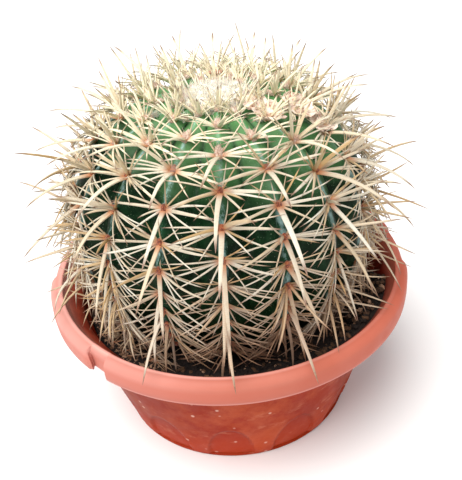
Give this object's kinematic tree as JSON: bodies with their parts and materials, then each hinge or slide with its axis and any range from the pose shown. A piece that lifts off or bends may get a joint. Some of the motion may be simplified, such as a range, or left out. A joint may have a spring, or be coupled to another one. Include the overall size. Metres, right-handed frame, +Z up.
{
  "type": "potted round cactus",
  "caption": "Globe-shaped ribbed cactus with long pale spines and a woolly crown, standing in soil in a wide round plastic bowl with a rolled rim.",
  "frame": {"origin": "centre of the underside of the bowl", "axes": "+Z up along the bowl's axis, -Y towards the front as pictured, +X to the right"},
  "size_m": [0.2563, 0.2513, 0.2676],
  "materials": {
    "pot_plastic": "satin moulded plastic, terracotta colour",
    "soil": "damp dark potting soil with bark chips and grit",
    "cactus_skin": "smooth waxy dark green skin, brighter towards the crown",
    "crown_felt": "cream felt of fine wool",
    "spines": "hard straw-yellow spines, orange-brown at the root and greyish at the tip",
    "dried_petals": "dry crumpled pinkish-tan petals",
    "gravel": "small rounded beige stones"
  },
  "bodies": {
    "root": {"pot": "pot_plastic", "soil": "soil", "cactus": "cactus_skin", "crown_wool": "crown_felt", "dried_flower_1": "dried_petals", "dried_flower_2": "dried_petals", "dried_flower_3": "dried_petals", "dried_flower_4": "dried_petals", "dried_flower_5": "dried_petals", "pebble_1": "gravel", "pebble_2": "gravel", "pebble_3": "gravel"}
  },
  "joints": []
}
